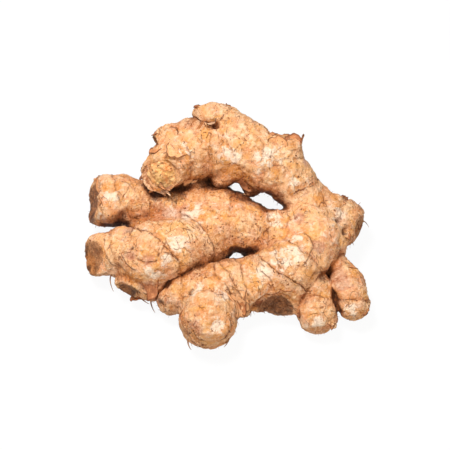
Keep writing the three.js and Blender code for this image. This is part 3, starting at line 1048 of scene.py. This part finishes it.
# Small flakes of loose skin, mostly where it is grimy, along the rings and round the cuts.
draw = random.Random(11)
flaky = ramp(np.abs(ring), 1.8, 0.4) * ring_shows + 0.7 * ramp(np.abs(crack), 1.5, 0.3) * crack_shows
flaky = 0.1 + flaky + 0.5 * patches(GRIME) + 0.9 * ramp(np.abs(scar - 0.4), 0.4, 0.1)
flaky[place[:, 2] < TABLE_CLEAR] = 0
chances = np.cumsum(flaky)
for seed in range(FLAKE_COUNT):
    root = int(np.searchsorted(chances, draw.uniform(0, chances[-1])))
    way = [draw.gauss(0, 1) for _ in range(3)]
    width, length = draw.uniform(0.8, 2.0), draw.uniform(0.7, 1.7)
    curl, pointed = draw.uniform(0, 40), draw.uniform(0, 0.8)
    rows = scale_rows(place[root], way, width, length, 0.6, curl, pointed, 0.8, seed + 0.5)
    draw_scale(rows, draw.uniform(-0.3, 1.0), seed)
dry_scales = finished("dry_scales", scales)
wall = dry_scales.modifiers.new("thickness", "SOLIDIFY")
wall.thickness = SCALE_THICKNESS * MM
wall.offset = 1

scale_paper, tree = new_material("dry_scale")
span = add("CombineXYZ", {0: value_at("span"), 1: times(value_at("run"), 2.2)}).outputs[0]
spot = spot_on_piece()
veins = noise_at(span, 0.7, 4, 0.6, 0.2)
blotch = noise_at(spot, 2.4, 4, 0.65, 0.4)
darkness = stirred(value_at("tone"), blotch, 1.3)
edge = stirred(value_at("rim"), blotch, 1.4)
colour = blend(band(darkness, -0.7, 0.0), linear(252, 226, 192), linear(232, 170, 116))
colour = coated(colour, [
    (band(darkness, -0.1, 0.5), 1.0, (206, 136, 84)),
    (band(darkness, 0.4, 0.8), 1.0, (172, 106, 68)),
    (band(darkness, 0.7, 1.3), 1.0, (96, 54, 30)),
    (band(veins, 0.5, 0.72), 0.5, (140, 80, 40)),
    (band(veins, 0.45, 0.25), 0.35, (250, 210, 162)),
    (marks(spot, 1.3, 0.5), 0.8, (100, 50, 20)),
    (band(edge, 0.6, 0.1), 0.8, (104, 54, 22)),
])
close_material(colour, 0.7, plus(blotch, veins, 0.7), 0.5, 0.25)
dry_scales.data.materials.append(scale_paper)
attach(dry_scales, "root")

# --- Rootlets ---------------------------------------------------------------------------------
# The rhizome's roots grew out of its nodes. What is left of them is thin, dry and curled, and short
# fine fibres of the same brown stuff fringe the rings and the old scales' edges.

# How far along the branch, degrees round it, the way it points, its length, its thickness at its
# root, how far it curls in degrees, and its droop.
ROOTLETS = {
    "lower_left": [(0.84, -85, -50, 11.0, 0.9, 70, 0.1)],
    "lower_left_heel": [(1, 120, 30, 8.0, 1.1, 70, 0.1), (1, -170, 0, 8.5, 1.1, 60, 0.1)],
    "lower_left_toe": [(0.9, -60, -30, 5.0, 0.9, 60, 0.3)],
    "front_knob": [(1, 95, 60, 7.0, 1.2, 80, 0.1), (1, -95, -40, 6.0, 1.0, -60, 0.1)],
    "heel": [
        (0.66, -38, 60, 4.0, 0.9, 140, 0.0), (0.72, -42, 0, 3.6, 0.8, -120, 0.0),
        (0.8, -95, 20, 5.5, 0.7, 70, 0.1), (1, -60, -40, 5.0, 0.6, -60, 0.0),
        (0.2, -100, 60, 7.0, 1.1, 90, 0.5),
    ],
    "front": [
        (0.45, -95, -80, 6.0, 1.1, 60, 0.5), (0.5, -100, -60, 4.5, 0.8, -70, 0.4),
        (0.85, -80, -40, 5.0, 0.9, 90, 0.4),
    ],
    "far_right_finger": [(0.9, 95, 0, 5.0, 0.9, 60, 0.4)],
    "arch": [
        (0.3, 150, 40, 5.5, 0.9, 70, 0.5), (0.62, 130, 30, 5.5, 0.8, -70, 0.5),
        (0.75, -120, -20, 6.0, 1.0, 80, 0.5),
    ],
    "upper_left": [(0.3, 95, 60, 8.0, 1.2, 60, 0.6), (0.6, 100, 40, 6.5, 1.0, -90, 0.5)],
    "core": [(0.4, 165, 30, 6.0, 1.0, 60, 0.5)],
}
ROOTLET_SIDES = 8
FIBRE_COUNT = 900
FIBRE_SIDES = 4
CURL_AXIS = Vector((0.1, -0.4, 1.0)).normalized()


def thread_path(start, way, length, curl, droop, steps):
    """Points of a thread that leaves the skin, curls sideways and droops."""
    point, way = Vector(start), Vector(way).normalized()
    path = []
    for step in range(steps + 1):
        path.append(point.copy())
        bend = curl * (1 + 0.6 * math.sin(7 * step / steps))
        turn = Matrix.Rotation(math.radians(bend) / steps, 3, CURL_AXIS)
        way = (turn @ way + Vector((0, 0, -droop)) / steps).normalized()
        point += way * length / steps
        point.z = max(point.z, 0.5)
    return path


def threads(name, paths, sides):
    """One mesh of tapering threads through (points, thickness) paths, in millimetres."""
    curve = bpy.data.curves.new(name, "CURVE")
    curve.dimensions = "3D"
    curve.bevel_depth = MM
    curve.bevel_resolution = sides // 2 - 2
    curve.use_fill_caps = True
    for points, thickness in paths:
        spline = curve.splines.new("POLY")
        spline.points.add(len(points) - 1)
        for number, (knot, point) in enumerate(zip(spline.points, points)):
            knot.co = (*(point * MM), 1)
            knot.radius = thickness / 2 * (1 - 0.8 * number / (len(points) - 1))
    drawn = placed(name, curve)
    mesh = settled_mesh(drawn)
    bpy.data.objects.remove(drawn)
    mesh.materials.clear()
    mesh.shade_smooth()
    return placed(name, mesh)


paths = []
for name, share, degrees, toward, length, thickness, curl, droop in rows_of(ROOTLETS):
    start, out, way = pointing(name, share, degrees, toward)
    path = thread_path(start - 0.6 * out, 0.8 * out + way, length, curl, droop, 12)
    paths.append((path, thickness))
rootlets = threads("rootlets", paths, ROOTLET_SIDES)

draw = random.Random(7)
fringe = ramp(np.abs(ring), 1.6, 0.3) * ring_shows
fringe = np.maximum(fringe, ramp(np.abs(crack), 1.4, 0.3) * crack_shows * 0.6)
fringe = 0.05 + 0.9 * fringe + 0.5 * ramp(shelter, 0.35, 0.7) + 0.35 * under
fringe[place[:, 2] < TABLE_CLEAR] = 0
chances = np.cumsum(fringe)
paths = []
for _ in range(FIBRE_COUNT):
    root = int(np.searchsorted(chances, draw.uniform(0, chances[-1])))
    way = outward[root] + [draw.gauss(0, 0.8) for _ in range(3)]
    start = place[root] - 0.15 * outward[root]
    path = thread_path(start, way, draw.uniform(0.7, 2.4), draw.uniform(-110, 110), 0.2, 4)
    paths.append((path, draw.uniform(0.16, 0.34)))
fibres = threads("fine_fibres", paths, FIBRE_SIDES)

root_wood, tree = new_material("root_fibre")
dry = noise_at(spot_on_piece(), 1.6, 4, 0.65, 0.3)
colour = blend(band(dry, 0.35, 0.65), linear(112, 68, 40), linear(176, 128, 88))
close_material(colour, 0.75, dry, 0.3, 0.2)
for piece in (rootlets, fibres):
    piece.data.materials.append(root_wood)
    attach(piece, "root")

# --- Studio -----------------------------------------------------------------------------------
# A white table in a white room, with a key lamp above and a soft fill in front. Table and room look
# white to the eye, and scatter only a little warm light onto the hand.

TABLE_HALF = 3000


def seen_plainly():
    """1 for what the camera sees, itself or in a mirror or through glass, and 0 for scattered light."""
    path = add("LightPath").outputs
    seen = math_of("MAXIMUM", path["Is Camera Ray"], path["Is Glossy Ray"])
    return math_of("MAXIMUM", seen, path["Is Transmission Ray"])


table_mesh = bmesh.new()
bmesh.ops.create_grid(table_mesh, x_segments=1, y_segments=1, size=TABLE_HALF)
table = finished("table", table_mesh)
paper, tree = new_material("table_paper")
plain = add("BsdfDiffuse", {"Color": (0.5, 0.48, 0.45, 1)})
lit = add("BsdfDiffuse", {"Color": (0.9, 0.9, 0.9, 1)})
glow = add("Emission", {"Color": (1, 1, 1, 1), "Strength": 1.0})
bright = add("MixShader", {0: 0.93, 1: lit.outputs[0], 2: glow.outputs[0]})
mixed = add("MixShader", {0: seen_plainly(), 1: plain.outputs[0], 2: bright.outputs[0]})
add("OutputMaterial", {"Surface": mixed.outputs[0]})
table.data.materials.append(paper)

world = bpy.data.worlds.new("studio")
bpy.context.scene.world = world
world.use_nodes = True
tree = world.node_tree
tree.nodes.clear()
room = add("Background", {"Color": (1, 0.97, 0.90, 1), "Strength": 0.34})
white = add("Background", {"Color": (1, 1, 1, 1), "Strength": 1.0})
mixed = add("MixShader", {0: seen_plainly(), 1: room.outputs[0], 2: white.outputs[0]})
add("OutputWorld", {"Surface": mixed.outputs[0]})

# Each lamp's place, the side of its square and its power in watts.
LAMPS = {"key": ((-180, 120, 700), 240, 5.8), "fill": ((120, -520, 520), 400, 2.2)}
for name, (stand, size, watts) in LAMPS.items():
    lamp = placed(name, bpy.data.lights.new(name, "AREA"))
    lamp.data.color = (1.0, 1.0, 1.02)
    lamp.data.size = size * MM
    lamp.data.energy = watts
    lamp.location = Vector(stand) * MM
    lamp.rotation_euler = lamp.location.to_track_quat("Z", "Y").to_euler()

bpy.context.scene.view_settings.view_transform = "Standard"
